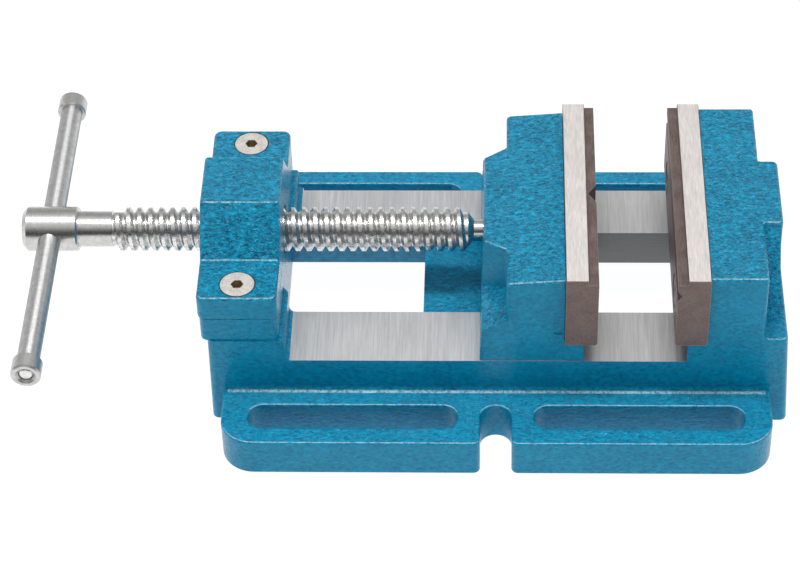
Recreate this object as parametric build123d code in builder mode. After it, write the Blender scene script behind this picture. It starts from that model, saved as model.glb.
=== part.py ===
from build123d import *
import math
import os

os.makedirs("parts", exist_ok=True)

# Machine vise. Millimetres. X runs along the spindle, from the handle (-X) to the fixed jaw (+X),
# Y runs along the jaw plates and Z is up. The origin is the middle of the base, halfway between
# the two side notches, on the face that rests on the machine table.

# ---------------------------------------------------------------- driving dimensions
# base flange
flange_length = 246.0
flange_width = 183.0
flange_thickness = 19.5
flange_corner_r = 15.0
slot_width = 14.0
slot_length = 94.0
slot_pitch_x = 128.0
slot_pitch_y = 150.0
notch_mouth_r = 3.0
cast_edge_r = 1.0
foot_r = 2.2
foot_length = 242.0
foot_arc_r = 3.0

# base body: two rails between the nut pedestal and the fixed jaw
body_left_x = (-129.2, -128.5)
body_right_x = (131.6, 129.0)
body_half_y = 58.0
body_corner_r = 3.0
rail_top = 37.8
rail_bottom = 18.8
rail_gap = 53.4
window_x = (-96.5, 86.5)
window_corner_r = 3.0
window_near_corner_r = 6.0
rail_edge = 1.5
underside_half_x = 119.0
underside_half_y = 49.0
underside_corner_r = 6.0
core_width = 39.0
core_mid_y = 24.5
core_corner_r = 4.0
right_core_x = 109.0
right_core_length = 20.0
right_core_depth = 24.0
left_core_x = -110.0
left_core_length = 18.0
left_core_depth = 15.0
pedestal_top = 49.4
pedestal_right_x = -94.0
shoulder_top = 51.3

# nut seat on the pedestal and the cap over it
seat_x = (-131.4, -96.3)
seat_half_y = 57.1
parting_z = 62.5
parting_gap = 0.1
parting_edge_r = 0.5
seat_corner_r = 3.5
spindle_z = 64.3
cap_x = (-132.0, -96.3)
cap_half_y = 57.4
cap_foot_top = 74.8
cap_top = 94.5
cap_flat_half_y = 15.2
cap_slope_half_y = 32.2
cap_wall = 5.5
cap_edge_r = 1.6
cap_screw_y = 47.6
cap_screw_length = 32.0
cap_screw_depth = 24.0
dowel_r = 2.0
dowel_length = 14.0
dowel_x = 12.0
dowel_y = 36.0

# spindle nut
nut_x = (-125.5, -101.5)
nut_half_y = 20.0
nut_bottom = 46.0
nut_shoulder_z = 74.0
nut_top_half_y = 11.0
nut_room = 1.5

# fixed jaw
fixed_face_x = 93.5
fixed_back_x = 118.4
fixed_top = 87.7
plate_ledge_x = 87.5
plate_ledge_top = 49.7
cutter_corner_r = 5.5
rear_rib_x = 127.0
jaw_foot_r = 2.5
rib_corner_r = 2.5
rib_foot_r = 1.0
ramp_x = 126.0
ramp_drop = 2.5
ramp_foot_half_y = 47.0
outer_edge_r = 1.5
rear_rib_half_y = 21.2

# jaw plates
plate_length = 120.0
plate_bottom = 49.8
plate_top = 88.5
plate_step_z = 86.1
plate_thickness = 14.3
plate_strip = 9.9
moving_plate_back_x = 30.5
jaw_screw_y = 38.0
jaw_screw_z = 62.0
jaw_screw_length = 25.0
jaw_screw_depth = 15.0
screw_sink = 0.4
groove_z = 79.6
upright_groove_half = 6.0

# moving jaw
moving_back_x = -5.5
moving_back_draft = 1.8
moving_face_x = 30.3
moving_half_y = 57.4
moving_top_front = 86.0
moving_top_back = 83.0
moving_foot_x = 38.9
moving_foot_top = 49.4
boss_half_y = 28.0
pocket_wall_x = 4.6
pocket_floor_z = (56.0, 62.0)
side_step_x = 25.5
side_step_z = 54.0
side_step_depth = 0.4
tongue_x = (-33.2, 45.0)
tongue_top = 33.0
slide_gap = 0.1
tongue_side_gap = 0.3

# keeper strips below the rails
keeper_x = (-28.0, 34.0)
keeper_y = (3.0, 42.0)
keeper_thickness = 9.0
keeper_screw_x = (-16.0, 30.0)
keeper_screw_y = 16.0
keeper_screw_reach = 10.0
keeper_head_t = 5.3
keeper_head_af = 13.0
washer_t = 1.6
washer_r = 6.6

# spindle
thread_r = 10.0
thread_root_r = 7.7
thread_pitch = 5.0
thread_x = (-174.5, -12.7)
thread_crest = 1.6
thread_flank_deg = 32.0
root_bite = 0.3
head_r = 10.2
head_x = (-215.6, -190.4)
neck_r = 8.15
journal_r = 4.4
journal_cone = 2.6
journal_end_x = 18.8
journal_groove_x = (9.8, 14.2)
journal_groove_r = 3.0
running_gap = 0.06
channel_r = 11.2

# thrust disc and retaining pins in the moving jaw
thrust_disc_t = 3.0
pin_r = 2.0
pin_y = 5.4
pin_z = (24.0, 74.0)

# handle
handle_x = -203.3
bar_r = 5.0
bar_half_length = 84.15
bar_mid_y = -2.15
spigot_r = 3.25
cap_r = 6.7
handle_cap_length = 8.5

# countersunk socket screws, 8 mm thread
screw_r = 4.0
screw_head_r = 8.0
screw_rim = 0.5
screw_hex_af = 5.0
screw_hex_depth = 4.0
screw_fit = 0.05
screw_seat_fit = 0.15
clearance_r = 4.5

# ---------------------------------------------------------------- shared planes and values
fixed_plate_back_x = fixed_face_x - 0.2
moving_plate_face_x = moving_plate_back_x + plate_thickness
fixed_plate_face_x = fixed_plate_back_x - plate_thickness
seat_mid_x = (cap_x[0] + cap_x[1]) / 2
pin_x = (journal_groove_x[0] + journal_groove_x[1]) / 2
dowel_spots = [(seat_mid_x + dowel_x, dowel_y), (seat_mid_x - dowel_x, -dowel_y)]
keeper_spots = [(x, y) for x in keeper_screw_x for y in (keeper_screw_y, -keeper_screw_y)]
screw_cone = screw_head_r - screw_r


def span(limits):
    """Middle and length of a (low, high) pair."""
    return (limits[0] + limits[1]) / 2, limits[1] - limits[0]


def across(face_x):
    """Plane at x = face_x, facing +X, whose sketch axes are Y and Z."""
    return Plane(origin=(face_x, 0, 0), x_dir=(0, 1, 0), z_dir=(1, 0, 0))


def at(edge, **place):
    """True when the middle of an edge lies at the given x, y or z."""
    middle = edge.center()
    return all(abs(getattr(middle, axis.upper()) - value) < 0.1 for axis, value in place.items())


def countersunk_screw(length):
    """Countersunk socket screw along -Z, with the top of its head at the origin."""
    with BuildPart() as screw:
        with BuildSketch(Plane.XZ):
            with BuildLine():
                Polyline(
                    (0, 0),
                    (screw_head_r, 0),
                    (screw_head_r, -screw_rim),
                    (screw_r, -screw_rim - screw_cone),
                    (screw_r, -length + 0.8),
                    (screw_r - 0.8, -length),
                    (0, -length),
                    close=True,
                )
            make_face()
        revolve(axis=Axis.Z)
        with BuildSketch(Plane.XY):
            RegularPolygon(screw_hex_af / 2, 6, major_radius=False)
        extrude(amount=-screw_hex_depth, mode=Mode.SUBTRACT)
    return screw.part


def screw_seat(drill_depth, shank_r):
    """Void for a countersunk screw: cone seat for the head and a drilled hole below it."""
    rim_r = screw_head_r + screw_seat_fit
    with BuildPart() as seat:
        with BuildSketch(Plane.XZ):
            with BuildLine():
                Polyline(
                    (0, 1),
                    (rim_r, 1),
                    (rim_r, -screw_rim),
                    (shank_r, -screw_rim - rim_r + shank_r),
                    (shank_r, -drill_depth),
                    (0, -drill_depth),
                    close=True,
                )
            make_face()
        revolve(axis=Axis.Z)
    return seat.part


# ---------------------------------------------------------------- base casting
with BuildPart() as base_casting:
    # flange with four long bolt slots and two open notches
    with BuildSketch():
        RectangleRounded(flange_length, flange_width, flange_corner_r)
        with GridLocations(slot_pitch_x, slot_pitch_y, 2, 2):
            SlotOverall(slot_length, slot_width, mode=Mode.SUBTRACT)
        with GridLocations(0, slot_pitch_y, 1, 2):
            Circle(slot_width / 2, mode=Mode.SUBTRACT)
        with GridLocations(0, slot_pitch_y + slot_width * 2, 1, 2):
            Rectangle(slot_width, slot_width * 2, mode=Mode.SUBTRACT)
    extrude(amount=flange_thickness)
    mouth = base_casting.edges().filter_by(Axis.Z).filter_by(
        lambda e: abs(e.center().X) < slot_width and abs(e.center().Y) > flange_width / 2 - 1
    )
    fillet(mouth, notch_mouth_r)
    fillet(base_casting.edges().group_by(Axis.Z)[-1], cast_edge_r)
    fillet(base_casting.edges().group_by(Axis.Z)[0], cast_edge_r)

    # body seen from the side: nut pedestal on the left, rails, shoulder of the fixed jaw on the right
    with BuildSketch(Plane.XZ.offset(-body_half_y)):
        with BuildLine():
            Polyline(
                (body_left_x[0], 0),
                (body_right_x[0], 0),
                (body_right_x[1], shoulder_top),
                (fixed_face_x, shoulder_top),
                (fixed_face_x, rail_top),
                (pedestal_right_x, rail_top),
                (pedestal_right_x, pedestal_top),
                (body_left_x[1], pedestal_top),
                close=True,
            )
        make_face()
    extrude(amount=2 * body_half_y)
    with BuildSketch(Plane.XY.offset(rail_top)):
        with Locations((fixed_face_x - 2 * cutter_corner_r, 0)):
            Rectangle(4 * cutter_corner_r, 2 * body_half_y)
        with Locations((plate_ledge_x - 30, 0)):
            RectangleRounded(60, 2 * body_half_y + 1.6, cutter_corner_r, mode=Mode.SUBTRACT)
            with Locations((-5 * cutter_corner_r, 0)):
                Rectangle(60 - 2 * cutter_corner_r, 2 * body_half_y, mode=Mode.SUBTRACT)
    extrude(amount=plate_ledge_top - rail_top)
    fillet(
        base_casting.edges().filter_by(
            lambda e: abs(abs(e.center().Y) - body_half_y) < 0.1
            and abs(e.center().X) > body_right_x[1] - 1
            and abs(e.tangent_at(0.5).Z) > 0.9
        ),
        body_corner_r,
    )

    # fixed jaw with its rear rib
    jaw_mid, jaw_len = span((fixed_face_x, fixed_back_x))
    with BuildSketch(Plane.XY.offset(shoulder_top)) as jaw_plan:
        with Locations((jaw_mid, 0)):
            Rectangle(jaw_len, 2 * body_half_y)
        with Locations(((jaw_mid + rear_rib_x) / 2, 0)):
            Rectangle(rear_rib_x - jaw_mid, 2 * rear_rib_half_y)
        fillet(jaw_plan.vertices().group_by(Axis.X)[-1], rib_corner_r)
    extrude(amount=fixed_top - shoulder_top)

    # seat for the nut cap, overhanging the end of the pedestal
    seat_mid, seat_len = span(seat_x)
    seat_top = parting_z - parting_gap
    with BuildSketch(Plane.XY.offset(pedestal_top)):
        with Locations((seat_mid, 0)):
            RectangleRounded(seat_len, 2 * seat_half_y, seat_corner_r)
    extrude(amount=seat_top - pedestal_top)
    fillet(
        base_casting.edges().filter_by(lambda e: at(e, z=seat_top) and e.center().X < seat_x[1] + 1),
        parting_edge_r,
    )

    # cast rounding: feet of the walls first, then the outer edges of the fixed jaw and shoulder
    with BuildSketch(across(-foot_length / 2)):
        for side in (1, -1):
            with BuildLine():
                corner = (side * body_half_y, flange_thickness)
                toe = (side * (body_half_y + foot_r), flange_thickness)
                heel = (side * body_half_y, flange_thickness + foot_r)
                Line(corner, toe)
                RadiusArc(toe, heel, side * foot_arc_r)
                Line(heel, corner)
            make_face()
    extrude(amount=foot_length)
    fillet(base_casting.edges().filter_by(lambda e: at(e, x=pedestal_right_x, z=rail_top)), 2.0)
    fillet(base_casting.edges().filter_by(lambda e: at(e, x=pedestal_right_x, z=pedestal_top)), 1.2)
    fillet(
        base_casting.edges().filter_by(
            lambda e: at(e, z=plate_ledge_top) and e.center().X < fixed_face_x - 0.1
        ),
        1.2,
    )
    fillet(
        base_casting.edges().filter_by(
            lambda e: at(e, z=shoulder_top) and abs(e.center().X - fixed_back_x) < 0.6
        ),
        jaw_foot_r,
    )
    fillet(
        base_casting.edges().filter_by(
            lambda e: at(e, z=shoulder_top)
            and e.center().X > fixed_back_x + 1
            and abs(abs(e.center().Y) - rear_rib_half_y) < 3
        ),
        rib_foot_r,
    )
    outer_edges = base_casting.edges().filter_by(
        lambda e: e.center().Z > shoulder_top - 0.1
        and e.center().X > fixed_face_x + 0.5
        and (
            at(e, z=fixed_top)
            or at(e, y=body_half_y)
            or at(e, y=-body_half_y)
            or (at(e, z=shoulder_top) and e.center().X > body_right_x[1] - body_corner_r - 0.1)
        )
    )
    fillet(
        outer_edges.filter_by(
            lambda e: not (at(e, z=shoulder_top) and abs(abs(e.center().Y) - rear_rib_half_y) < 3)
        ),
        outer_edge_r,
    )
    # ramps that run down from the ends of the rib to the shoulder
    with BuildSketch(across(jaw_mid)):
        for side in (1, -1):
            with BuildLine():
                Polyline(
                    (side * (rear_rib_half_y - 3), shoulder_top - 1),
                    (side * (rear_rib_half_y - 3), fixed_top - ramp_drop),
                    (side * rear_rib_half_y, fixed_top - ramp_drop),
                    (side * ramp_foot_half_y, shoulder_top - 1),
                    close=True,
                )
            make_face()
    extrude(amount=ramp_x - jaw_mid)
    fillet(
        base_casting.edges().filter_by(
            lambda e: at(e, z=0) and abs(e.center().X) > flange_length / 2
        ),
        cast_edge_r,
    )
    # dressed outer edge of the rear rail
    with BuildSketch(across(pedestal_right_x + 2)):
        with BuildLine():
            Polyline(
                (body_half_y - rail_edge - 0.5, rail_top + 0.5),
                (body_half_y + 0.5, rail_top + 0.5),
                (body_half_y + 0.5, rail_top - rail_edge - 0.5),
                close=True,
            )
        make_face()
    extrude(amount=plate_ledge_x - cutter_corner_r - 1 - pedestal_right_x - 2, mode=Mode.SUBTRACT)
    # gap between the rails, and the hollow underside
    window_mid, window_len = span(window_x)
    with BuildSketch() as window_plan:
        with Locations((window_mid, 0)):
            Rectangle(window_len, rail_gap)
        near_left = window_plan.vertices().sort_by(Axis.X)[:2].sort_by(Axis.Y)[0]
        other_corners = window_plan.vertices().filter_by(lambda v: v != near_left)
        fillet(near_left, window_near_corner_r)
        fillet(other_corners, window_corner_r)
    extrude(amount=rail_top + 20, mode=Mode.SUBTRACT)
    with BuildSketch():
        RectangleRounded(2 * underside_half_x, 2 * underside_half_y, underside_corner_r)
    extrude(amount=rail_bottom, mode=Mode.SUBTRACT)
    with BuildSketch(Plane.XY.offset(rail_bottom)):
        with Locations((right_core_x, core_mid_y), (right_core_x, -core_mid_y)):
            RectangleRounded(right_core_length, core_width, core_corner_r)
    extrude(amount=right_core_depth, mode=Mode.SUBTRACT)
    with BuildSketch(Plane.XY.offset(rail_bottom)):
        with Locations((left_core_x, core_mid_y), (left_core_x, -core_mid_y)):
            RectangleRounded(left_core_length, core_width, core_corner_r)
    extrude(amount=left_core_depth, mode=Mode.SUBTRACT)

    # pocket for the nut and the channel that clears the spindle
    nut_mid, nut_len = span(nut_x)
    with BuildSketch(Plane.XY.offset(nut_bottom)):
        with Locations((nut_mid, 0)):
            Rectangle(nut_len + 0.1, 2 * nut_half_y + 0.1)
    extrude(amount=spindle_z, mode=Mode.SUBTRACT)
    with BuildSketch(across(seat_x[0] - 1)):
        with Locations((0, spindle_z)):
            Circle(channel_r)
    extrude(amount=seat_len + 8, mode=Mode.SUBTRACT)

    # holes for the dowels, the cap screws and the plate screws
    with Locations(*[(x, y, parting_z) for x, y in dowel_spots]):
        Cylinder(dowel_r + screw_fit, dowel_length + 0.4, mode=Mode.SUBTRACT)
    with Locations(*[(seat_mid_x, y, parting_z) for y in (cap_screw_y, -cap_screw_y)]):
        Cylinder(screw_r + screw_fit, 2 * cap_screw_depth, mode=Mode.SUBTRACT)
    with BuildSketch(across(fixed_face_x)):
        with Locations((jaw_screw_y, jaw_screw_z), (-jaw_screw_y, jaw_screw_z)):
            Circle(screw_r + screw_fit)
    extrude(amount=jaw_screw_depth, mode=Mode.SUBTRACT)
base_casting.part.label = "base_casting"
export_step(base_casting.part, "parts/base_casting.step")


# ---------------------------------------------------------------- nut cap, nut and cap screws
cap_inner_top = cap_top - cap_wall
with BuildPart() as nut_cap:
    # foot, split from the seat just below the spindle's axis
    cap_bottom = parting_z + parting_gap
    cap_len = cap_x[1] - cap_x[0]
    with BuildSketch(Plane.XY.offset(cap_bottom)):
        with Locations((seat_mid_x, 0)):
            RectangleRounded(cap_len, 2 * cap_half_y, seat_corner_r)
    extrude(amount=cap_foot_top - cap_bottom)
    # hump over the nut
    with BuildSketch(across(cap_x[0])):
        with BuildLine():
            Polyline(
                (cap_slope_half_y, cap_foot_top - 5),
                (cap_slope_half_y, cap_foot_top),
                (cap_flat_half_y, cap_top),
                (-cap_flat_half_y, cap_top),
                (-cap_slope_half_y, cap_foot_top),
                (-cap_slope_half_y, cap_foot_top - 5),
                close=True,
            )
        make_face()
    extrude(amount=cap_len)
    hump_edges = nut_cap.edges().filter_by(lambda e: e.center().Z > cap_foot_top - 0.1)
    fillet(hump_edges, cap_edge_r)
    fillet(nut_cap.edges().filter_by(lambda e: at(e, z=cap_bottom)), parting_edge_r)
    # room for the nut, and the channel that lets the spindle in and out at both ends
    with BuildSketch(across(nut_x[0] - 0.1)):
        with BuildLine():
            Polyline(
                (nut_half_y + nut_room, parting_z - 1),
                (nut_half_y + nut_room, nut_shoulder_z),
                (nut_top_half_y + nut_room, cap_inner_top),
                (-nut_top_half_y - nut_room, cap_inner_top),
                (-nut_half_y - nut_room, nut_shoulder_z),
                (-nut_half_y - nut_room, parting_z - 1),
                close=True,
            )
        make_face()
    extrude(amount=nut_len + 0.2, mode=Mode.SUBTRACT)
    with BuildSketch(across(cap_x[0] - 1)):
        with Locations((0, spindle_z)):
            Circle(channel_r)
    extrude(amount=cap_len + 2, mode=Mode.SUBTRACT)
    # seats for the two dowels and the two countersunk screws
    with Locations(*[(x, y, parting_z) for x, y in dowel_spots]):
        Cylinder(dowel_r + screw_fit, dowel_length + 0.4, mode=Mode.SUBTRACT)
    with Locations(*[(seat_mid_x, y, cap_foot_top) for y in (cap_screw_y, -cap_screw_y)]):
        add(screw_seat(20, clearance_r), mode=Mode.SUBTRACT)
nut_cap.part.label = "nut_cap"
export_step(nut_cap.part, "parts/nut_cap.step")

with BuildPart() as spindle_nut:
    with BuildSketch(across(nut_x[0])):
        with BuildLine():
            Polyline(
                (nut_half_y, nut_bottom),
                (nut_half_y, nut_shoulder_z),
                (nut_top_half_y, cap_inner_top),
                (-nut_top_half_y, cap_inner_top),
                (-nut_half_y, nut_shoulder_z),
                (-nut_half_y, nut_bottom),
                close=True,
            )
        make_face()
        with Locations((0, spindle_z)):
            Circle(thread_r + running_gap, mode=Mode.SUBTRACT)
    extrude(amount=nut_len)
    chamfer(spindle_nut.edges().filter_by(GeomType.CIRCLE), 1.0)
spindle_nut.part.label = "spindle_nut"
export_step(spindle_nut.part, "parts/spindle_nut.step")

with BuildPart() as nut_cap_dowels:
    with BuildSketch(Plane.XY.offset(parting_z - dowel_length / 2)):
        with Locations(*dowel_spots):
            Circle(dowel_r)
    extrude(amount=dowel_length)
    chamfer(nut_cap_dowels.edges().filter_by(GeomType.CIRCLE), 0.5)
nut_cap_dowels.part.label = "nut_cap_dowels"
export_step(nut_cap_dowels.part, "parts/nut_cap_dowels.step")

with BuildPart() as nut_cap_screws:
    with Locations(*[(seat_mid_x, y, cap_foot_top) for y in (cap_screw_y, -cap_screw_y)]):
        add(countersunk_screw(cap_screw_length))
nut_cap_screws.part.label = "nut_cap_screws"
export_step(nut_cap_screws.part, "parts/nut_cap_screws.step")


# ---------------------------------------------------------------- jaw plates and their screws
def jaw_plate(back_x, toward):
    """Stepped hardened plate: back face at x = back_x, gripping face toward +X or -X."""
    with BuildPart() as plate:
        with BuildSketch(Plane.XZ.offset(-plate_length / 2)):
            with BuildLine():
                Polyline(
                    (back_x, plate_bottom),
                    (back_x + toward * plate_thickness, plate_bottom),
                    (back_x + toward * plate_thickness, plate_step_z),
                    (back_x + toward * plate_strip, plate_step_z),
                    (back_x + toward * plate_strip, plate_top),
                    (back_x, plate_top),
                    close=True,
                )
            make_face()
        extrude(amount=plate_length)
        fillet(plate.edges().filter_by(Axis.Y).group_by(Axis.Z)[0], 1.2)
        chamfer(plate.edges().group_by(Axis.Z)[-1], 0.25)
        face_x = back_x + toward * (plate_thickness - screw_sink)
        for y in (jaw_screw_y, -jaw_screw_y):
            with Locations(Plane(origin=(face_x, y, jaw_screw_z), z_dir=(toward, 0, 0))):
                add(screw_seat(plate_thickness + 1, clearance_r), mode=Mode.SUBTRACT)
    return plate


def jaw_screws(face_x, toward):
    """The pair of screws that hold a jaw plate, heads sunk just below the gripping face."""
    with BuildPart() as screws:
        for y in (jaw_screw_y, -jaw_screw_y):
            spot = Plane(origin=(face_x - toward * screw_sink, y, jaw_screw_z), z_dir=(toward, 0, 0))
            with Locations(spot):
                add(countersunk_screw(jaw_screw_length))
    return screws


with BuildPart() as fixed_jaw_plate:
    add(jaw_plate(fixed_plate_back_x, -1).part)
    # horizontal V groove for round stock laid flat
    with BuildSketch(Plane.XZ.offset(-plate_length / 2 - 1)):
        with BuildLine():
            Polyline(
                (fixed_plate_face_x - 0.1, groove_z - 3.1),
                (fixed_plate_face_x + 2.0, groove_z),
                (fixed_plate_face_x - 0.1, groove_z + 3.1),
                close=True,
            )
        make_face()
    extrude(amount=plate_length + 2, mode=Mode.SUBTRACT)
fixed_jaw_plate.part.label = "fixed_jaw_plate"
export_step(fixed_jaw_plate.part, "parts/fixed_jaw_plate.step")

with BuildPart() as moving_jaw_plate:
    add(jaw_plate(moving_plate_back_x, 1).part)
    # vertical V groove for round stock stood upright
    with BuildSketch(Plane.XY.offset(plate_bottom - 1)):
        with BuildLine():
            Polyline(
                (moving_plate_face_x + 0.1, upright_groove_half + 0.1),
                (moving_plate_face_x - 3.7, 0),
                (moving_plate_face_x + 0.1, -upright_groove_half - 0.1),
                close=True,
            )
        make_face()
    extrude(amount=plate_top - plate_bottom, mode=Mode.SUBTRACT)
moving_jaw_plate.part.label = "moving_jaw_plate"
export_step(moving_jaw_plate.part, "parts/moving_jaw_plate.step")

fixed_jaw_screws = jaw_screws(fixed_plate_face_x, -1)
fixed_jaw_screws.part.label = "fixed_jaw_screws"
export_step(fixed_jaw_screws.part, "parts/fixed_jaw_screws.step")

moving_jaw_screws = jaw_screws(moving_plate_face_x, 1)
moving_jaw_screws.part.label = "moving_jaw_screws"
export_step(moving_jaw_screws.part, "parts/moving_jaw_screws.step")


# ---------------------------------------------------------------- moving jaw casting
jaw_bottom = rail_top + slide_gap
bore_start_x = moving_back_x - moving_back_draft - 1
with BuildPart() as moving_jaw_casting:
    # side profile with the foot that reaches under the jaw plate
    with BuildSketch(Plane.XZ.offset(-moving_half_y)):
        with BuildLine():
            Polyline(
                (moving_back_x - moving_back_draft, jaw_bottom),
                (moving_foot_x, jaw_bottom),
                (moving_foot_x, moving_foot_top),
                (moving_face_x, moving_foot_top),
                (moving_face_x, moving_top_front),
                (moving_back_x, moving_top_back),
                close=True,
            )
        make_face()
    extrude(amount=2 * moving_half_y)
    # pockets beside the spindle boss
    for side in (1, -1):
        with BuildSketch(Plane.XY.offset(pocket_floor_z[0] - 10)):
            with BuildLine():
                Polyline(
                    (moving_back_x - moving_back_draft - 1, side * (boss_half_y - 1)),
                    (pocket_wall_x, side * (boss_half_y + 7)),
                    (pocket_wall_x, side * (moving_half_y + 1)),
                    (moving_back_x - moving_back_draft - 1, side * (moving_half_y + 1)),
                    close=True,
                )
            make_face()
        extrude(amount=60, mode=Mode.SUBTRACT)
        with BuildSketch(Plane.XZ.offset(-side * (boss_half_y - 1))):
            with BuildLine():
                Polyline(
                    (moving_back_x - moving_back_draft, jaw_bottom),
                    (pocket_wall_x + 1, jaw_bottom),
                    (pocket_wall_x + 1, pocket_floor_z[1]),
                    (pocket_wall_x, pocket_floor_z[1]),
                    (moving_back_x - moving_back_draft / 2, pocket_floor_z[0]),
                    close=True,
                )
            make_face()
        extrude(amount=-side * (moving_half_y - boss_half_y + 1))
    fillet(
        moving_jaw_casting.edges().filter_by(Axis.Z).filter_by(
            lambda e: e.center().X < pocket_wall_x + 1 and abs(e.center().Y) > boss_half_y - 2
        ),
        2.0,
    )
    top_edges = moving_jaw_casting.edges().filter_by(
        lambda e: e.center().Z > moving_top_back - 1 and e.center().X < moving_face_x - 1
    )
    fillet(top_edges, 1.6)
    # shallow step where the side faces were ground together with the plate seat
    for side in (1, -1):
        with BuildSketch(Plane.XZ.offset(-side * moving_half_y)):
            with BuildLine():
                Polyline(
                    (side_step_x, side_step_z),
                    (moving_face_x + 1, side_step_z),
                    (moving_face_x + 1, moving_top_front + 1),
                    (side_step_x, moving_top_front + 1),
                    close=True,
                )
            make_face()
        extrude(amount=side * side_step_depth, mode=Mode.SUBTRACT)
    # tongue that runs between the rails
    tongue_mid, tongue_len = span(tongue_x)
    with BuildSketch(Plane.XY.offset(rail_bottom - slide_gap)):
        with Locations((tongue_mid, 0)):
            RectangleRounded(tongue_len, rail_gap - 2 * tongue_side_gap, window_corner_r + 0.5)
    extrude(amount=tongue_top - rail_bottom + slide_gap)
    with BuildSketch(Plane.XY.offset(tongue_top)):
        with Locations(((moving_back_x + moving_foot_x) / 2 + 1, 0)):
            Rectangle(moving_foot_x - moving_back_x - 2, rail_gap - 2 * tongue_side_gap)
    extrude(amount=jaw_bottom - tongue_top + 0.2)
    # blind bore for the spindle journal and the thrust disc
    with BuildSketch(across(bore_start_x)):
        with Locations((0, spindle_z)):
            Circle(journal_r + running_gap)
    extrude(amount=journal_end_x + thrust_disc_t + 0.1 - bore_start_x, mode=Mode.SUBTRACT)
    # retaining pin holes, drilled from below
    with Locations(*[(pin_x, y, (rail_bottom + pin_z[1]) / 2) for y in (pin_y, -pin_y)]):
        Cylinder(pin_r + screw_fit, pin_z[1] - rail_bottom + 2, mode=Mode.SUBTRACT)
    # threaded holes for the plate screws and the keeper screws
    with BuildSketch(across(moving_face_x)):
        with Locations((jaw_screw_y, jaw_screw_z), (-jaw_screw_y, jaw_screw_z)):
            Circle(screw_r + screw_fit)
    extrude(amount=-jaw_screw_depth, mode=Mode.SUBTRACT)
    with BuildSketch(Plane.XY.offset(rail_bottom - 1)):
        with Locations(*keeper_spots):
            Circle(screw_r + screw_fit)
    extrude(amount=keeper_screw_reach + 3, mode=Mode.SUBTRACT)
moving_jaw_casting.part.label = "moving_jaw_casting"
export_step(moving_jaw_casting.part, "parts/moving_jaw_casting.step")


# ---------------------------------------------------------------- keeper strips and their screws
keeper_top = rail_bottom - slide_gap
keeper_mid, keeper_len = span(keeper_x)


def keeper_strip(side):
    """Flat strip bolted below the tongue and reaching under one rail."""
    with BuildPart() as strip:
        with BuildSketch(Plane.XY.offset(keeper_top - keeper_thickness)):
            with Locations((keeper_mid, side * (keeper_y[0] + keeper_y[1]) / 2)):
                RectangleRounded(keeper_len, keeper_y[1] - keeper_y[0], 3)
            with Locations(*[(x, side * keeper_screw_y) for x in keeper_screw_x]):
                Circle(clearance_r, mode=Mode.SUBTRACT)
        extrude(amount=keeper_thickness)
        chamfer(strip.edges().group_by(Axis.Z)[0], 0.8)
    return strip


for name, side in (("keeper_strip_front", -1), ("keeper_strip_rear", 1)):
    strip = keeper_strip(side)
    strip.part.label = name
    export_step(strip.part, "parts/" + name + ".step")

with BuildPart() as keeper_washers:
    with BuildSketch(Plane.XY.offset(keeper_top - keeper_thickness - washer_t)):
        with Locations(*keeper_spots):
            Circle(washer_r)
            Circle(screw_r + 0.2, mode=Mode.SUBTRACT)
    extrude(amount=washer_t)
keeper_washers.part.label = "keeper_washers"
export_step(keeper_washers.part, "parts/keeper_washers.step")

with BuildPart() as keeper_screws:
    head_bottom = keeper_top - keeper_thickness - washer_t - keeper_head_t
    with BuildSketch(Plane.XY.offset(head_bottom)):
        with Locations(*keeper_spots):
            RegularPolygon(keeper_head_af / 2, 6, major_radius=False)
    extrude(amount=keeper_head_t)
    with BuildSketch(Plane.XY.offset(head_bottom)):
        with Locations(*keeper_spots):
            Circle(screw_r)
    extrude(amount=keeper_head_t + washer_t + keeper_thickness + keeper_screw_reach)
keeper_screws.part.label = "keeper_screws"
export_step(keeper_screws.part, "parts/keeper_screws.step")


# ---------------------------------------------------------------- thrust disc and retaining pins
with BuildPart() as thrust_disc:
    with BuildSketch(across(journal_end_x + 0.1)):
        with Locations((0, spindle_z)):
            Circle(journal_r)
    extrude(amount=thrust_disc_t)
thrust_disc.part.label = "thrust_disc"
export_step(thrust_disc.part, "parts/thrust_disc.step")

with BuildPart() as retaining_pins:
    with Locations(*[(pin_x, y, (pin_z[0] + pin_z[1]) / 2) for y in (pin_y, -pin_y)]):
        Cylinder(pin_r, pin_z[1] - pin_z[0])
    chamfer(retaining_pins.edges().filter_by(GeomType.CIRCLE), 0.5)
retaining_pins.part.label = "retaining_pins"
export_step(retaining_pins.part, "parts/retaining_pins.step")


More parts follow.
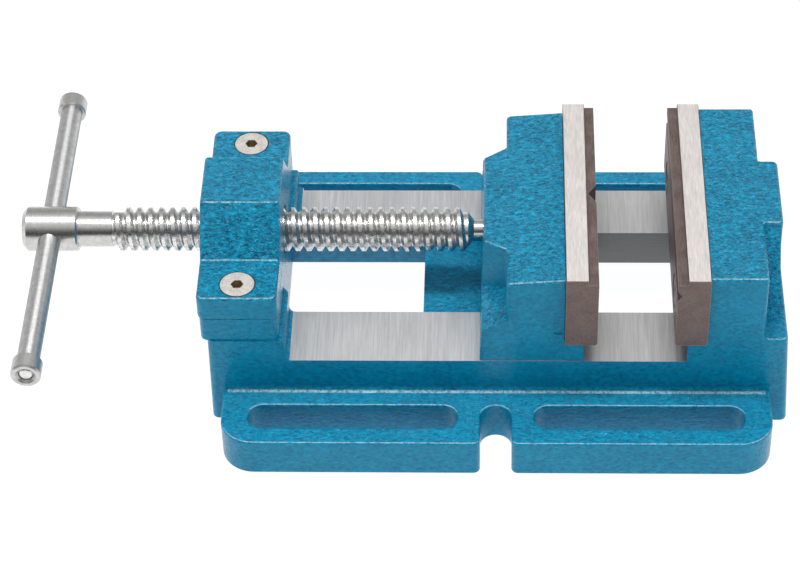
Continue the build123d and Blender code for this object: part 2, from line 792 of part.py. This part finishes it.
# ---------------------------------------------------------------- spindle
with BuildPart() as spindle:
    # core turned about the spindle axis: head, neck, run-out, thread root, cone, journal
    with BuildSketch(Plane.XZ.offset(0)):
        with BuildLine():
            Polyline(
                (head_x[0], spindle_z),
                (head_x[0], spindle_z + head_r - 2),
                (head_x[0] + 2, spindle_z + head_r),
                (head_x[1] - 0.7, spindle_z + head_r),
                (head_x[1], spindle_z + head_r - 0.7),
                (head_x[1], spindle_z + neck_r),
                (thread_x[0] - 0.3, spindle_z + neck_r),
                (thread_x[0], spindle_z + thread_root_r),
                (thread_x[1], spindle_z + thread_root_r),
                (thread_x[1] + journal_cone, spindle_z + journal_r),
                (journal_groove_x[0], spindle_z + journal_r),
                (journal_groove_x[0], spindle_z + journal_groove_r),
                (journal_groove_x[1], spindle_z + journal_groove_r),
                (journal_groove_x[1], spindle_z + journal_r),
                (journal_end_x - 1, spindle_z + journal_r),
                (journal_end_x, spindle_z + journal_r - 1),
                (journal_end_x, spindle_z),
                close=True,
            )
        make_face()
    revolve(axis=Axis((0, 0, spindle_z), (1, 0, 0)))
    # trapezoidal right-hand thread
    depth = thread_r - thread_root_r + root_bite
    root_half = thread_crest / 2 + depth * math.tan(math.radians(thread_flank_deg))
    with BuildLine() as thread_path:
        Helix(
            thread_pitch,
            thread_x[1] - thread_x[0] - 2 * root_half,
            thread_root_r - root_bite,
            center=(thread_x[0] + root_half, 0, spindle_z),
            direction=(1, 0, 0),
        )
    helix = thread_path.line
    start = helix @ 0
    outward = (start - Vector(thread_x[0] + root_half, 0, spindle_z)).normalized()
    with BuildSketch(Plane(origin=start, x_dir=outward, z_dir=helix % 0)):
        with BuildLine():
            Polyline(
                (0, -root_half),
                (depth, -thread_crest / 2),
                (depth, thread_crest / 2),
                (0, root_half),
                close=True,
            )
        make_face()
    sweep(path=helix, is_frenet=True)
    # cross hole for the handle bar
    with Locations(Plane(origin=(handle_x, 0, spindle_z), z_dir=(0, 1, 0))):
        Cylinder(bar_r + running_gap, 4 * head_r, mode=Mode.SUBTRACT)
spindle.part.label = "spindle"
export_step(spindle.part, "parts/spindle.step")


# ---------------------------------------------------------------- handle bar and end caps
with BuildPart() as handle_bar:
    bar_plane = Plane(origin=(handle_x, bar_mid_y, spindle_z), x_dir=(1, 0, 0), z_dir=(0, 1, 0))
    with BuildSketch(bar_plane):
        Circle(bar_r)
    extrude(amount=bar_half_length, both=True)
    with BuildSketch(bar_plane):
        Circle(spigot_r)
    extrude(amount=bar_half_length + handle_cap_length - 1.0, both=True)
    fillet(handle_bar.faces().sort_by(Axis.Y)[-1].edges(), 1.2)
    fillet(handle_bar.faces().sort_by(Axis.Y)[0].edges(), 1.2)
handle_bar.part.label = "handle_bar"
export_step(handle_bar.part, "parts/handle_bar.step")


def handle_cap(side):
    """Turned end cap with a shallow recess round the peened end of the bar."""
    end_y = bar_mid_y + side * bar_half_length
    end = Plane(origin=(handle_x, end_y, spindle_z), z_dir=(0, side, 0))
    with BuildPart() as cap:
        with BuildSketch(end):
            Circle(cap_r)
            Circle(spigot_r + screw_fit, mode=Mode.SUBTRACT)
        extrude(amount=handle_cap_length)
        outer = cap.faces().sort_by(Axis.Y)[-1 if side > 0 else 0]
        inner = cap.faces().sort_by(Axis.Y)[0 if side > 0 else -1]
        chamfer(outer.edges().sort_by(SortBy.LENGTH)[-1], 0.8)
        chamfer(outer.edges().sort_by(SortBy.LENGTH)[0], 1.2)
        chamfer(inner.edges().sort_by(SortBy.LENGTH)[-1], 0.5)
    return cap


for name, side in (("handle_cap_front", -1), ("handle_cap_rear", 1)):
    end_cap = handle_cap(side)
    end_cap.part.label = name
    export_step(end_cap.part, "parts/" + name + ".step")
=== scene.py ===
"""Looks of a drill-press vise: hammered blue enamel, machined rails, ground jaw plates and bright steel."""

from math import cos, radians, sin

import bpy
from mathutils import Matrix, Vector

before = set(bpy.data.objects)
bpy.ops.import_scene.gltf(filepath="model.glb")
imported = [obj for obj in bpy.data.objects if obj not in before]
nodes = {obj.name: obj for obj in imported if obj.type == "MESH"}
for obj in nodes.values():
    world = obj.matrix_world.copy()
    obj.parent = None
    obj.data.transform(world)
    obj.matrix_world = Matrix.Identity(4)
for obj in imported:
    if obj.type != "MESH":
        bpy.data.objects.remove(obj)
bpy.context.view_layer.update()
scene = bpy.context.scene

# camera, in metres and degrees
CAMERA_TARGET = Vector((-0.0446, 0.0, 0.0303))
CAMERA_DISTANCE = 1.2843
CAMERA_ELEVATION = 43.445
CAMERA_YAW = -2.892
CAMERA_ROLL = -1.857
CAMERA_LENS = 124.66
SENSOR_WIDTH = 36.0

# places on the castings, in metres
RAIL_TOP = 0.0378
OPENING_HALF_WIDTH = 0.0267
GUIDE_START_X = 0.004
PLATE_SEAT_FIXED_X = 0.0935
PLATE_SEAT_MOVING_X = 0.0303
CAP_SPLIT_Z = 0.0626
CAP_FOOT_TOP_Z = 0.0748
CAP_SCREW = (-0.11415, 0.0476)
HEX_REACH = 0.0032
THREAD_X = (-0.1748, -0.0100)
STRIP_TOP_Z = 0.0885
PLANE_TOLERANCE = 0.0003
FLAT = 0.98

# the enamel's relief, in metres: the hammered pattern grows bolder between these heights
BOLD_FROM_Z = (0.045, 0.060)
HAMMER_DEPTH = 0.00075
WAVE_DEPTH = 0.0010

# light: sky stops are (height, brightness), with 0 at the horizon and 1 straight up
FLOOR_GLOW = 0.97
FRONT_SKY = ((0.0, 0.05), (0.40, 0.06), (0.62, 0.35), (0.80, 0.72), (1.0, 0.78))
BACK_SKY = ((0.0, 0.60), (0.55, 0.42), (0.78, 0.45), (0.90, 0.78), (1.0, 0.78))
SKY_BLEND_Y = (-0.25, 0.25)
BASE_MIDDLE = (-0.03, 0.0, 0.04)
SOFTBOXES = (
    # name, place, aim, size, watts, seen in reflections
    ("overhead", (-0.05, 0.0, 1.5), (-0.05, 0.0, 0.0), (1.0, 0.18), 12, True),
    ("front", (-0.1, -1.8, 0.45), BASE_MIDDLE, (1.0, 0.6), 1.8, False),
    ("left", (-1.6, -0.4, 0.9), BASE_MIDDLE, (0.7, 0.7), 2.5, True),
    ("right", (1.6, -0.3, 0.9), BASE_MIDDLE, (0.7, 0.7), 2.5, True),
)

# colours, linear
ENAMEL_DEEP = (0.0001, 0.086, 0.188, 1)
ENAMEL_BRIGHT = (0.0020, 0.410, 0.680, 1)
# lighter enamel for the forward roundings and the glints: a painted highlight, partly thin paint on the
# roundings
ENAMEL_THIN_PAINT_AND_HIGHLIGHT = (0.460, 0.740, 0.800, 1)
STEEL_LIGHT = (0.76, 0.76, 0.765, 1)
OXIDE_DARK = (0.110, 0.075, 0.068, 1)
OXIDE_LIGHT = (0.250, 0.190, 0.175, 1)


class Graph:
    """Builds one procedural material, a node at a time, in the frame's own metres."""

    def __init__(self, name):
        self.material = bpy.data.materials.new(name)
        self.material.use_nodes = True
        self.tree = self.material.node_tree
        self.tree.nodes.clear()
        self.shader = self.node("ShaderNodeBsdfPrincipled")
        output = self.node("ShaderNodeOutputMaterial")
        self.link(self.shader.outputs["BSDF"], output.inputs["Surface"])
        self.coords = self.node("ShaderNodeTexCoord").outputs["Object"]

    def node(self, kind, **settings):
        made = self.tree.nodes.new(kind)
        for key, value in settings.items():
            setattr(made, key, value)
        return made

    def link(self, source, target):
        self.tree.links.new(source, target)

    def put(self, socket, value):
        """Sets a socket to a number or colour, or links it to another node's output."""
        if isinstance(value, bpy.types.NodeSocket):
            self.link(value, socket)
        else:
            socket.default_value = value

    def set(self, **values):
        for key, value in values.items():
            self.put(self.shader.inputs[key.replace("_", " ")], value)

    def stretched(self, scale):
        mapping = self.node("ShaderNodeMapping")
        self.link(self.coords, mapping.inputs["Vector"])
        mapping.inputs["Scale"].default_value = scale
        return mapping.outputs["Vector"]

    def noise(self, scale, stretch=(1, 1, 1), detail=2.0, rough=0.5, distortion=0.0):
        made = self.node("ShaderNodeTexNoise")
        self.link(self.stretched(stretch), made.inputs["Vector"])
        made.inputs["Scale"].default_value = scale
        made.inputs["Detail"].default_value = detail
        made.inputs["Roughness"].default_value = rough
        made.inputs["Distortion"].default_value = distortion
        return made.outputs["Fac"]

    def cells(self, scale, stretch=(1, 1, 1), smoothness=0.6):
        made = self.node("ShaderNodeTexVoronoi", feature="SMOOTH_F1")
        self.link(self.stretched(stretch), made.inputs["Vector"])
        made.inputs["Scale"].default_value = scale
        made.inputs["Smoothness"].default_value = smoothness
        return made.outputs["Distance"]

    def span(self, value, low, high, to_low=0.0, to_high=1.0):
        made = self.node("ShaderNodeMapRange", clamp=True)
        self.put(made.inputs["Value"], value)
        made.inputs["From Min"].default_value = low
        made.inputs["From Max"].default_value = high
        made.inputs["To Min"].default_value = to_low
        made.inputs["To Max"].default_value = to_high
        return made.outputs["Result"]

    def maths(self, operation, a, b=0.0):
        made = self.node("ShaderNodeMath", operation=operation)
        self.put(made.inputs[0], a)
        self.put(made.inputs[1], b)
        return made.outputs[0]

    def mix(self, share, a, b):
        made = self.node("ShaderNodeMix", data_type="RGBA")
        self.put(made.inputs["Factor"], share)
        self.put(made.inputs[6], a)
        self.put(made.inputs[7], b)
        return made.outputs[2]

    def axis(self, letter):
        made = self.node("ShaderNodeSeparateXYZ")
        self.link(self.coords, made.inputs[0])
        return made.outputs[letter]

    def facing(self, letter):
        """One component of the surface's own direction."""
        made = self.node("ShaderNodeSeparateXYZ")
        self.link(self.node("ShaderNodeNewGeometry").outputs["Normal"], made.inputs[0])
        return made.outputs[letter]

    def edges(self, radius):
        """Near 1 where the surface turns within that radius, and 0 on flat ground."""
        bevel = self.node("ShaderNodeBevel", samples=4)
        bevel.inputs["Radius"].default_value = radius
        geometry = self.node("ShaderNodeNewGeometry")
        dot = self.node("ShaderNodeVectorMath", operation="DOT_PRODUCT")
        self.link(bevel.outputs["Normal"], dot.inputs[0])
        self.link(geometry.outputs["Normal"], dot.inputs[1])
        return self.span(dot.outputs["Value"], 1.0, 0.86)

    def bump(self, height, distance, strength=1.0, below=None):
        made = self.node("ShaderNodeBump")
        made.inputs["Distance"].default_value = distance
        made.inputs["Strength"].default_value = strength
        self.link(height, made.inputs["Height"])
        if below is not None:
            self.link(below, made.inputs["Normal"])
        return made.outputs["Normal"]


def enamel(name):
    """Glossy hammered enamel: bold wrinkles on the jaw tops and the cap, finer ones on the walls.

    The roundings between a top and the front below it are painted lighter: a painted highlight, partly
    standing for thinner paint there. The hollows of the relief are painted darker and its crests lighter,
    as painted shade and light, and small painted glints sit on the bold tops.
    """
    g = Graph(name)
    wrinkles = g.noise(760, (0.55, 1.15, 1.0), 2.5, 0.55, 1.1)
    pebbles = g.cells(520, (0.8, 1.2, 1.0), 0.5)
    fine = g.noise(1500, (0.8, 1.0, 1.0), 2.0, 0.6)
    waves = g.noise(60, (1, 1, 1), 1.0)
    tilt = g.facing("Z")
    high = g.span(g.axis("Z"), *BOLD_FROM_Z, 0.45, 1.0)
    bold = g.maths("MULTIPLY", g.span(tilt, 0.25, 0.60), high)
    relief = g.span(g.maths("ADD", wrinkles, g.maths("MULTIPLY", pebbles, 0.35)), 0.45, 0.85)
    height = g.maths(
        "ADD",
        g.maths("MULTIPLY", relief, g.span(bold, 0.0, 1.0, 0.16, 1.0)),
        g.maths("MULTIPLY", fine, 0.05),
    )
    # hollows of the relief painted darker and crests lighter: painted shade and light of the hammered
    # relief, with random broad waves of tone added
    painted_relief_shading = g.maths("MULTIPLY", g.span(relief, 0.0, 1.0, -0.5, 0.5), g.span(bold, 0.0, 1.0, 0.45, 1.0))
    tone = g.maths("ADD", painted_relief_shading, g.maths("MULTIPLY", waves, 0.3))
    colour = g.mix(g.span(tone, -0.50, 0.78), ENAMEL_DEEP, ENAMEL_BRIGHT)
    # forward-facing roundings painted lighter: a painted highlight, partly standing for thinner paint
    rounding = g.maths("MULTIPLY", g.span(tilt, 0.74, 0.84), g.span(tilt, 0.99, 0.965))
    forward = g.maths("MULTIPLY", rounding, g.span(g.facing("Y"), -0.12, -0.30))
    thin_paint_and_highlight = g.maths("MULTIPLY", forward, g.span(g.noise(800), 0.36, 0.56, 0.25, 1.0))
    # small painted glints of light on the bold tops
    glints = g.maths("MULTIPLY", g.span(g.noise(1500, (0.7, 1.1, 1.0), 1.0), 0.60, 0.74), bold)
    light = g.maths("MAXIMUM", g.maths("MULTIPLY", thin_paint_and_highlight, 0.9), g.maths("MULTIPLY", glints, 0.22))
    g.set(
        Base_Color=g.mix(light, colour, ENAMEL_THIN_PAINT_AND_HIGHLIGHT),
        Roughness=g.span(relief, 0.0, 1.0, 0.20, 0.12),
        Specular_IOR_Level=0.24,
        Normal=g.bump(height, HAMMER_DEPTH, 1.0, g.bump(waves, WAVE_DEPTH, 0.4)),
    )
    return g


def machined(name, light=STEEL_LIGHT, stretch=(1.0, 0.03, 1.0), rough=(0.38, 0.50), metal=0.8):
    """Ground or milled steel, with fine cutter lines along one axis."""
    g = Graph(name)
    lines = g.noise(1500, stretch, 3.0, 0.65)
    broad = g.noise(260, stretch, 2.0, 0.5)
    stain = g.noise(70, (1, 1, 1), 3.0)
    tone = g.maths("ADD", g.maths("MULTIPLY", lines, 0.85), g.maths("MULTIPLY", broad, 0.15))
    dark = tuple(0.78 * c for c in light[:3]) + (1,)
    colour = g.mix(g.span(tone, 0.32, 0.66), dark, light)
    g.set(
        Base_Color=g.mix(g.span(stain, 0.45, 0.8, 0.0, 0.25), colour, dark),
        Metallic=metal,
        Roughness=g.span(tone, 0.3, 0.7, *rough),
        Normal=g.bump(tone, 0.00003, 0.5),
    )
    return g


def oxide(name):
    """Dark hardened steel of the jaw plates, fine ground and brownish."""
    g = Graph(name)
    lines = g.noise(1400, (1.0, 0.15, 1.0), 3.0, 0.7)
    blotch = g.noise(120, (1, 1, 1), 3.0)
    tone = g.maths("ADD", g.maths("MULTIPLY", lines, 0.65), g.maths("MULTIPLY", blotch, 0.35))
    colour = g.mix(g.span(tone, 0.3, 0.7), OXIDE_DARK, OXIDE_LIGHT)
    worn = g.edges(0.0004)
    g.set(
        Base_Color=g.mix(g.maths("MULTIPLY", worn, 0.6), colour, (0.45, 0.40, 0.37, 1)),
        Metallic=0.55,
        Roughness=g.span(tone, 0.3, 0.7, 0.40, 0.58),
        Normal=g.bump(tone, 0.00004, 0.6),
    )
    return g


def bright_steel(name, tint, rough, ring_stretch=(1.0, 0.04, 0.04), rim=(1.0, 1.0, 1.0, 1), drawn=False):
    """Turned and polished steel: faint rings from the tool and a few soft marks.

    Steel drawn along Y mirrors its surroundings as long streaks, and its rim colour dulls its sides.
    """
    g = Graph(name)
    rings = g.noise(2600, ring_stretch, 2.0)
    marks = g.noise(420, (1, 1, 1), 3.0, 0.6)
    dark = tuple(0.80 * c for c in tint[:3]) + (1,)
    g.set(
        Base_Color=g.mix(g.span(marks, 0.35, 0.7), tint, dark),
        Metallic=1.0,
        Roughness=g.span(g.maths("ADD", rings, marks), 0.7, 1.3, *rough),
        Specular_Tint=rim,
        Normal=g.bump(rings, 0.00002, 0.35),
    )
    if drawn:
        around = g.node("ShaderNodeTangent", direction_type="RADIAL", axis="Y")
        g.set(Tangent=around.outputs["Tangent"], Anisotropic=0.9, Anisotropic_Rotation=0.25)
    return g


def rolled_thread(name):
    """The spindle's thread: bright steel mottled at random with darker marks."""
    g = Graph(name)
    mottle = g.noise(520, (1, 1, 1), 4.0, 0.62, 0.5)
    fine = g.noise(1900, (1, 1, 1), 2.0)
    tone = g.maths("ADD", g.maths("MULTIPLY", mottle, 0.7), g.maths("MULTIPLY", fine, 0.3))
    g.set(
        Base_Color=g.mix(g.span(tone, 0.36, 0.62), (0.40, 0.395, 0.39, 1), (0.90, 0.90, 0.89, 1)),
        Metallic=1.0,
        Roughness=g.span(tone, 0.35, 0.65, 0.36, 0.20),
        Normal=g.bump(tone, 0.00016, 0.8),
    )
    return g


def plated(name, light=(0.92, 0.88, 0.82, 1), dark=(0.62, 0.58, 0.53, 1), rim=0.0):
    """Plated screw heads, slightly matt with small scuffs, and a dark painted shadow line round the edge of
    a sunk head.
    """
    g = Graph(name)
    scuffs = g.noise(900, (1, 1, 1), 4.0, 0.7, 0.8)
    cloud = g.noise(250, (1, 1, 1), 2.0)
    tone = g.maths("ADD", g.maths("MULTIPLY", scuffs, 0.6), g.maths("MULTIPLY", cloud, 0.4))
    colour = g.mix(g.span(tone, 0.36, 0.56), dark, light)
    # a near-black ring at the edge of a sunk head: a painted shadow of the gap round it
    if rim:
        across = g.maths("SUBTRACT", g.axis("X"), CAP_SCREW[0])
        along = g.maths("SUBTRACT", g.maths("ABSOLUTE", g.axis("Y")), CAP_SCREW[1])
        reach = g.maths("SQRT", g.maths("ADD", g.maths("POWER", across, 2.0), g.maths("POWER", along, 2.0)))
        colour = g.mix(g.span(reach, rim - 0.00012, rim + 0.00012), colour, (0.03, 0.03, 0.035, 1))
    g.set(
        Base_Color=colour,
        Metallic=0.7,
        Roughness=g.span(tone, 0.35, 0.65, 0.50, 0.38),
        Normal=g.bump(scuffs, 0.00004, 0.5),
    )
    return g


def guide_wall(name):
    """The side faces between the rails: milled where the jaw's tongue is guided, enamelled beyond."""
    g = machined(name, (0.20, 0.20, 0.20, 1), (0.03, 1.0, 1.0), (0.42, 0.55))
    milled = g.shader.inputs["Base Color"].links[0].from_socket
    guide = g.span(g.axis("X"), GUIDE_START_X - 0.0002, GUIDE_START_X + 0.0002)
    paint = g.mix(g.noise(430, (1, 1, 1), 2.0), ENAMEL_DEEP, ENAMEL_BRIGHT)
    g.set(Base_Color=g.mix(guide, paint, milled), Metallic=guide)
    return g


MATERIALS = {
    "enamel": enamel("hammered_enamel"),
    "rail": machined("milled_rail"),
    "base_face": machined("milled_underside", (0.50, 0.50, 0.51, 1)),
    "seat": machined("milled_seat", (0.42, 0.42, 0.43, 1), (1.0, 0.05, 1.0), (0.35, 0.5)),
    "guide": guide_wall("guide_wall"),
    "strip": machined("ground_strip", (0.93, 0.875, 0.84, 1), (1.0, 0.10, 1.0), (0.40, 0.52), 0.6),
    "oxide": oxide("hardened_plate"),
    "thread": rolled_thread("rolled_thread"),
    "turned": bright_steel("turned_steel", (0.66, 0.655, 0.65, 1), (0.20, 0.30)),
    "bar": bright_steel(
        "polished_bar",
        (0.86, 0.86, 0.86, 1),
        (0.30, 0.36),
        ring_stretch=(0.04, 1.0, 0.04),
        rim=(0.08, 0.08, 0.08, 1),
        drawn=True,
    ),
    "cap": bright_steel("bar_cap_steel", (0.66, 0.655, 0.65, 1), (0.34, 0.46)),
    "plated": plated("plated_screw"),
    "sunk": plated("sunk_screw", rim=0.0076),
    "socket": plated("socket_brass", (0.48, 0.40, 0.25, 1), (0.16, 0.12, 0.07, 1)),
    "dark": plated("dark_screw", (0.16, 0.15, 0.145, 1), (0.05, 0.047, 0.045, 1)),
    "bronze": plated("nut_bronze", (0.56, 0.36, 0.15, 1), (0.34, 0.20, 0.08, 1)),
    "plain": machined("plain_steel", (0.45, 0.45, 0.45, 1), (0.05, 1.0, 1.0)),
}


def dress(node, first, *rules):
    """Gives a CAD node its first material, and further ones to the faces that a rule picks."""
    mesh = nodes[node].data
    mesh.materials.clear()
    mesh.materials.append(MATERIALS[first].material)
    for _, key in rules:
        mesh.materials.append(MATERIALS[key].material)
    for face in mesh.polygons:
        face.material_index = 0
        for slot, (rule, _) in enumerate(rules, 1):
            if rule(face.center, face.normal):
                face.material_index = slot


def plane(axis, value, sign):
    """A rule: the face lies in that plane and looks along that axis."""

    def rule(centre, normal):
        return abs(centre[axis] - value) < PLANE_TOLERANCE and normal[axis] * sign > FLAT

    return rule


def is_guide_wall(centre, normal):
    return (
        abs(normal.y) > FLAT
        and abs(abs(centre.y) - OPENING_HALF_WIDTH) < PLANE_TOLERANCE
        and centre.z < RAIL_TOP
        and normal.y * centre.y < 0
    )


def is_thread(centre, normal):
    return THREAD_X[0] < centre.x < THREAD_X[1]


def is_strip(centre, normal):
    return centre.z > STRIP_TOP_Z - PLANE_TOLERANCE and normal.z > FLAT


def is_hex(centre, normal):
    reach = ((centre.x - CAP_SCREW[0]) ** 2 + (abs(centre.y) - CAP_SCREW[1]) ** 2) ** 0.5
    return reach < HEX_REACH and centre.z < CAP_FOOT_TOP_Z - PLANE_TOLERANCE


X, Y, Z = 0, 1, 2
dress(
    "base_casting",
    "enamel",
    (plane(Z, RAIL_TOP, 1), "rail"),
    (plane(Z, 0.0, -1), "base_face"),
    (plane(X, PLATE_SEAT_FIXED_X, -1), "seat"),
    (is_guide_wall, "guide"),
)
dress(
    "moving_jaw_casting",
    "enamel",
    (plane(X, PLATE_SEAT_MOVING_X, 1), "seat"),
    (plane(Z, RAIL_TOP, -1), "rail"),
)
dress("nut_cap", "enamel", (plane(Z, CAP_SPLIT_Z, -1), "seat"))
dress("moving_jaw_plate", "oxide", (is_strip, "strip"))
dress("fixed_jaw_plate", "oxide", (is_strip, "strip"))
dress("spindle", "turned", (is_thread, "thread"))
dress("handle_bar", "bar")
dress("handle_cap_front", "cap")
dress("handle_cap_rear", "cap")
dress("nut_cap_screws", "sunk", (is_hex, "socket"))
dress("keeper_screws", "plated")
dress("keeper_washers", "plated")
dress("fixed_jaw_screws", "dark")
dress("moving_jaw_screws", "dark")
dress("spindle_nut", "bronze")
for plain in ("nut_cap_dowels", "retaining_pins", "thrust_disc", "keeper_strip_front", "keeper_strip_rear"):
    dress(plain, "plain")


def floor():
    """A wide pale sheet under the vise, lit a little from within so that the light stays even."""
    bpy.ops.mesh.primitive_plane_add(size=12.0, location=(0, 0, -0.0003))
    sheet = bpy.context.object
    sheet.name = "floor"
    g = Graph("pale_floor")
    g.set(
        Base_Color=g.mix(g.noise(30, (1, 1, 1), 3.0), (0.09, 0.09, 0.09, 1), (0.11, 0.11, 0.11, 1)),
        Roughness=0.8,
        Emission_Color=(1, 1, 1, 1),
        Emission_Strength=FLOOR_GLOW,
    )
    sheet.data.materials.append(g.material)


def softbox(name, place, aim, size, watts, mirrored):
    light = bpy.data.lights.new(name, "AREA")
    light.shape = "RECTANGLE"
    light.size, light.size_y = size
    light.energy = watts
    box = bpy.data.objects.new(name, light)
    box.location = place
    box.rotation_euler = (Vector(aim) - Vector(place)).to_track_quat("-Z", "Y").to_euler()
    box.visible_glossy = mirrored
    scene.collection.objects.link(box)


def sky(tree, height, stops):
    """A grey ramp that turns height into brightness."""
    ramp = tree.nodes.new("ShaderNodeValToRGB")
    tree.links.new(height, ramp.inputs["Fac"])
    marks = ramp.color_ramp.elements
    marks[0].position, marks[1].position = stops[0][0], stops[-1][0]
    for mark, (_, shade) in ((marks[0], stops[0]), (marks[1], stops[-1])):
        mark.color = (shade, shade, shade, 1)
    for position, shade in stops[1:-1]:
        marks.new(position).color = (shade, shade, shade, 1)
    return ramp.outputs["Color"]


def studio():
    """A light tent: bright above, pale behind, dark low in front where the camera stands."""
    world = bpy.data.worlds.new("studio")
    world.use_nodes = True
    tree = world.node_tree
    coords = tree.nodes.new("ShaderNodeTexCoord")
    split = tree.nodes.new("ShaderNodeSeparateXYZ")
    behind = tree.nodes.new("ShaderNodeMapRange")
    blend = tree.nodes.new("ShaderNodeMix")
    blend.data_type = "RGBA"
    tree.links.new(coords.outputs["Generated"], split.inputs[0])
    tree.links.new(split.outputs["Y"], behind.inputs["Value"])
    behind.inputs["From Min"].default_value, behind.inputs["From Max"].default_value = SKY_BLEND_Y
    front_sky = sky(tree, split.outputs["Z"], FRONT_SKY)
    back_sky = sky(tree, split.outputs["Z"], BACK_SKY)
    tree.links.new(behind.outputs["Result"], blend.inputs["Factor"])
    tree.links.new(front_sky, blend.inputs[6])
    tree.links.new(back_sky, blend.inputs[7])
    tree.links.new(blend.outputs[2], tree.nodes["Background"].inputs["Color"])
    scene.world = world
    for box in SOFTBOXES:
        softbox(*box)


def camera():
    """Looks at the vise from above and a little to its right, as a catalogue picture does."""
    yaw, tilt, roll = radians(CAMERA_YAW), radians(CAMERA_ELEVATION), radians(CAMERA_ROLL)
    forward = Vector((sin(yaw) * cos(tilt), cos(yaw) * cos(tilt), -sin(tilt)))
    right = Vector((cos(yaw), -sin(yaw), 0.0))
    up = right.cross(forward)
    side = cos(roll) * right + sin(roll) * up
    top = cos(roll) * up - sin(roll) * right
    data = bpy.data.cameras.new("view")
    data.lens = CAMERA_LENS
    data.sensor_width = SENSOR_WIDTH
    data.clip_end = 50.0
    shot = bpy.data.objects.new("view", data)
    turn = Matrix((side, top, -forward)).transposed().to_4x4()
    shot.matrix_world = Matrix.Translation(CAMERA_TARGET - CAMERA_DISTANCE * forward) @ turn
    scene.collection.objects.link(shot)
    scene.camera = shot


scene.view_settings.view_transform = "Standard"
floor()
studio()
camera()
